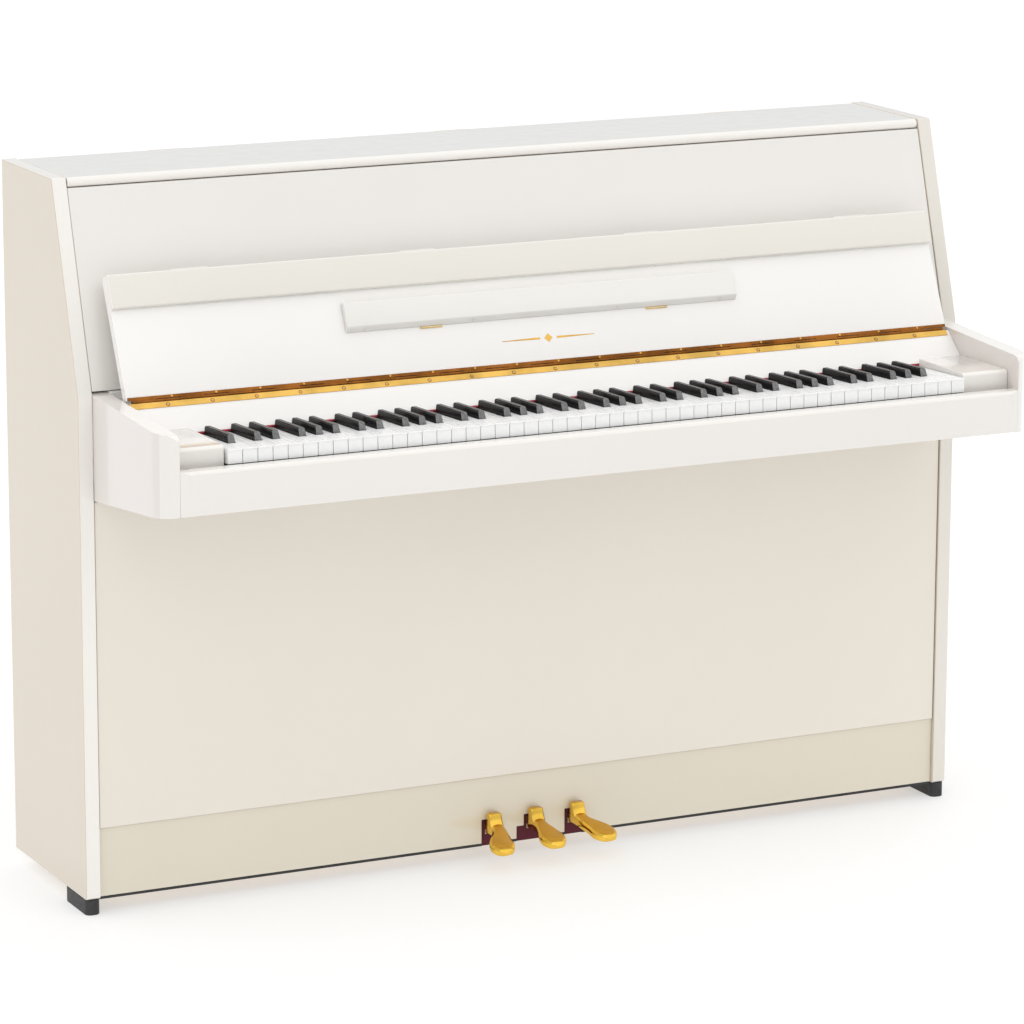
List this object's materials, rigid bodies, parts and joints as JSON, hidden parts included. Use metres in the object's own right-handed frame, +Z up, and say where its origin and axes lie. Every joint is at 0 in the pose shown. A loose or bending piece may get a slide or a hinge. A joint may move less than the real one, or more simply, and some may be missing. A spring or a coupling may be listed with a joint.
{
  "type": "upright piano",
  "caption": "Upright piano in a gloss white case: full keyboard, folding fall board with a lip and a music shelf, pedals, hinged lid, string plate and open wooden back.",
  "frame": {"origin": "on the floor, under the middle of the case's width and depth", "axes": "+X to the treble end (the player's right), +Y to the back of the case, +Z up; the player sits on the -Y side"},
  "size_m": [1.49, 0.58, 1.1],
  "materials": {
    "white_lacquer": "gloss polyester lacquer over board",
    "white_key": "polished key cover on wood",
    "black_key": "polished",
    "brass": "polished",
    "plate_iron": "bronze paint on cast iron",
    "raw_wood": "planed, unvarnished",
    "hard_wood": "planed",
    "spruce": "clear varnish",
    "steel": "bright",
    "copper_winding": "wound copper",
    "felt": "dense wool felt",
    "red_felt": "dense wool felt",
    "black_feet": "matt"
  },
  "bodies": {
    "case": {"side_panel_left": "white_lacquer", "side_panel_right": "white_lacquer", "arm_left": "white_lacquer", "arm_right": "white_lacquer", "key_bed": "white_lacquer", "key_slip": "white_lacquer", "key_block_left": "white_lacquer", "key_block_right": "white_lacquer", "hinge_rail": "white_lacquer", "name_felt": "red_felt", "upper_panel": "white_lacquer", "toe_rail": "white_lacquer", "bottom_board": "raw_wood", "front_feet": "black_feet", "rear_feet": "black_feet", "back_posts": "raw_wood", "back_beams": "raw_wood", "soundboard": "spruce", "soundboard_ribs": "spruce", "bridges": "raw_wood", "iron_plate": "plate_iron", "pin_block": "raw_wood", "tuning_pins": "steel", "strings_bass": "copper_winding", "strings_treble": "steel", "key_frame": "raw_wood", "action_frame": "plate_iron", "fall_hinge_fixed_leaf": "brass", "lid_hinge_fixed": "brass"},
    "c_keys": {"keys_c": "white_key"},
    "c_sharp_keys": {"keys_c_sharp": "black_key"},
    "d_keys": {"keys_d": "white_key"},
    "d_sharp_keys": {"keys_d_sharp": "black_key"},
    "e_keys": {"keys_e": "white_key"},
    "f_keys": {"keys_f": "white_key"},
    "f_sharp_keys": {"keys_f_sharp": "black_key"},
    "g_keys": {"keys_g": "white_key"},
    "g_sharp_keys": {"keys_g_sharp": "black_key"},
    "a_keys": {"keys_a": "white_key"},
    "a_sharp_keys": {"keys_a_sharp": "black_key"},
    "b_keys": {"keys_b": "white_key"},
    "lid": {"top_lid": "white_lacquer", "lid_hinge_moving": "brass"},
    "fall": {"fall_board": "white_lacquer", "fall_hinge_moving_leaf": "brass", "lip_hinge": "brass", "music_shelf_hinges": "brass"},
    "lip": {"fall_lip": "white_lacquer"},
    "shelf": {"music_shelf": "white_lacquer"},
    "knee_panel": {"lower_panel": "white_lacquer"},
    "soft_pedal": {"pedal_soft": "brass"},
    "soft_rod": {"rod_soft": "hard_wood"},
    "practice_pedal": {"pedal_practice": "brass"},
    "practice_rod": {"rod_practice": "hard_wood"},
    "sustain_pedal": {"pedal_sustain": "brass"},
    "sustain_rod": {"rod_sustain": "hard_wood"},
    "hammers": {"hammer_heads": "felt", "hammer_shanks": "hard_wood"},
    "damper_set": {"dampers": "red_felt"},
    "muffler": {"muffler_rail": "felt"}
  },
  "joints": [
    {"name": "c_keys_press", "type": "hinge", "parent": "case", "child": "c_keys", "pos_m": [0, -0.042, 0.74], "axis": [1, 0, 0], "range_deg": [0, 2.58], "stiffness_Nm_per_rad": 10, "springref_deg": -5.16},
    {"name": "c_sharp_keys_press", "type": "hinge", "parent": "case", "child": "c_sharp_keys", "pos_m": [0, -0.042, 0.74], "axis": [1, 0, 0], "range_deg": [0, 2.58], "stiffness_Nm_per_rad": 10, "springref_deg": -5.16},
    {"name": "d_keys_press", "type": "hinge", "parent": "case", "child": "d_keys", "pos_m": [0, -0.042, 0.74], "axis": [1, 0, 0], "range_deg": [0, 2.58], "stiffness_Nm_per_rad": 10, "springref_deg": -5.16},
    {"name": "d_sharp_keys_press", "type": "hinge", "parent": "case", "child": "d_sharp_keys", "pos_m": [0, -0.042, 0.74], "axis": [1, 0, 0], "range_deg": [0, 2.58], "stiffness_Nm_per_rad": 10, "springref_deg": -5.16},
    {"name": "e_keys_press", "type": "hinge", "parent": "case", "child": "e_keys", "pos_m": [0, -0.042, 0.74], "axis": [1, 0, 0], "range_deg": [0, 2.58], "stiffness_Nm_per_rad": 10, "springref_deg": -5.16},
    {"name": "f_keys_press", "type": "hinge", "parent": "case", "child": "f_keys", "pos_m": [0, -0.042, 0.74], "axis": [1, 0, 0], "range_deg": [0, 2.58], "stiffness_Nm_per_rad": 10, "springref_deg": -5.16},
    {"name": "f_sharp_keys_press", "type": "hinge", "parent": "case", "child": "f_sharp_keys", "pos_m": [0, -0.042, 0.74], "axis": [1, 0, 0], "range_deg": [0, 2.58], "stiffness_Nm_per_rad": 10, "springref_deg": -5.16},
    {"name": "g_keys_press", "type": "hinge", "parent": "case", "child": "g_keys", "pos_m": [0, -0.042, 0.74], "axis": [1, 0, 0], "range_deg": [0, 2.58], "stiffness_Nm_per_rad": 10, "springref_deg": -5.16},
    {"name": "g_sharp_keys_press", "type": "hinge", "parent": "case", "child": "g_sharp_keys", "pos_m": [0, -0.042, 0.74], "axis": [1, 0, 0], "range_deg": [0, 2.58], "stiffness_Nm_per_rad": 10, "springref_deg": -5.16},
    {"name": "a_keys_press", "type": "hinge", "parent": "case", "child": "a_keys", "pos_m": [0, -0.042, 0.74], "axis": [1, 0, 0], "range_deg": [0, 2.58], "stiffness_Nm_per_rad": 10, "springref_deg": -5.16},
    {"name": "a_sharp_keys_press", "type": "hinge", "parent": "case", "child": "a_sharp_keys", "pos_m": [0, -0.042, 0.74], "axis": [1, 0, 0], "range_deg": [0, 2.58], "stiffness_Nm_per_rad": 10, "springref_deg": -5.16},
    {"name": "b_keys_press", "type": "hinge", "parent": "case", "child": "b_keys", "pos_m": [0, -0.042, 0.74], "axis": [1, 0, 0], "range_deg": [0, 2.58], "stiffness_Nm_per_rad": 10, "springref_deg": -5.16},
    {"name": "lid_open", "type": "hinge", "parent": "case", "child": "lid", "pos_m": [0, 0.286, 1.0965], "axis": [-1, 0, 0], "range_deg": [0, 95]},
    {"name": "fall_close", "type": "hinge", "parent": "case", "child": "fall", "pos_m": [0, -0.074, 0.789], "axis": [1, 0, 0], "range_deg": [0, 116.9]},
    {"name": "lip_unfold", "type": "hinge", "parent": "fall", "child": "lip", "pos_m": [0, 0.00768, 0.96475], "axis": [-1, 0, 0], "range_deg": [0, 90]},
    {"name": "shelf_fold", "type": "hinge", "parent": "fall", "child": "shelf", "pos_m": [0, -0.04418, 0.85697], "axis": [-1, 0, 0], "range_deg": [-90, 0]},
    {"name": "lower_panel_tip", "type": "hinge", "parent": "case", "child": "knee_panel", "pos_m": [0, -0.012, 0.134], "axis": [1, 0, 0], "range_deg": [0, 25]},
    {"name": "pedal_soft_press", "type": "hinge", "parent": "case", "child": "soft_pedal", "pos_m": [-0.072, 0.045, 0.052], "axis": [1, 0, 0], "range_deg": [0, 6], "stiffness_Nm_per_rad": 20, "springref_deg": -5.73},
    {"name": "rod_soft_lift", "type": "slide", "parent": "case", "child": "soft_rod", "axis": [0, 0, 1], "range_m": [0, 0.008]},
    {"name": "pedal_practice_press", "type": "hinge", "parent": "case", "child": "practice_pedal", "pos_m": [0, 0.045, 0.052], "axis": [1, 0, 0], "range_deg": [0, 6], "stiffness_Nm_per_rad": 20, "springref_deg": -5.73},
    {"name": "rod_practice_lift", "type": "slide", "parent": "case", "child": "practice_rod", "axis": [0, 0, 1], "range_m": [0, 0.008]},
    {"name": "pedal_sustain_press", "type": "hinge", "parent": "case", "child": "sustain_pedal", "pos_m": [0.072, 0.045, 0.052], "axis": [1, 0, 0], "range_deg": [0, 6], "stiffness_Nm_per_rad": 20, "springref_deg": -5.73},
    {"name": "rod_sustain_lift", "type": "slide", "parent": "case", "child": "sustain_rod", "axis": [0, 0, 1], "range_m": [0, 0.008]},
    {"name": "hammers_lean", "type": "hinge", "parent": "case", "child": "hammers", "pos_m": [0, 0.088, 0.8], "axis": [-1, 0, 0], "range_deg": [0, 9]},
    {"name": "dampers_lift", "type": "hinge", "parent": "case", "child": "damper_set", "pos_m": [0, 0.12, 0.803], "axis": [1, 0, 0], "range_deg": [0, 4]},
    {"name": "muffler_drop", "type": "slide", "parent": "case", "child": "muffler", "axis": [0, 0, -1], "range_m": [0, 0.035]}
  ],
  "couplings": [
    {"joint": "rod_soft_lift", "follows": "pedal_soft_press", "m_per_rad": 0.068},
    {"joint": "hammers_lean", "follows": "pedal_soft_press", "ratio": 1.5},
    {"joint": "rod_practice_lift", "follows": "pedal_practice_press", "m_per_rad": 0.068},
    {"joint": "muffler_drop", "follows": "pedal_practice_press", "m_per_rad": 0.334},
    {"joint": "rod_sustain_lift", "follows": "pedal_sustain_press", "m_per_rad": 0.068},
    {"joint": "dampers_lift", "follows": "pedal_sustain_press", "ratio": 0.6666}
  ]
}
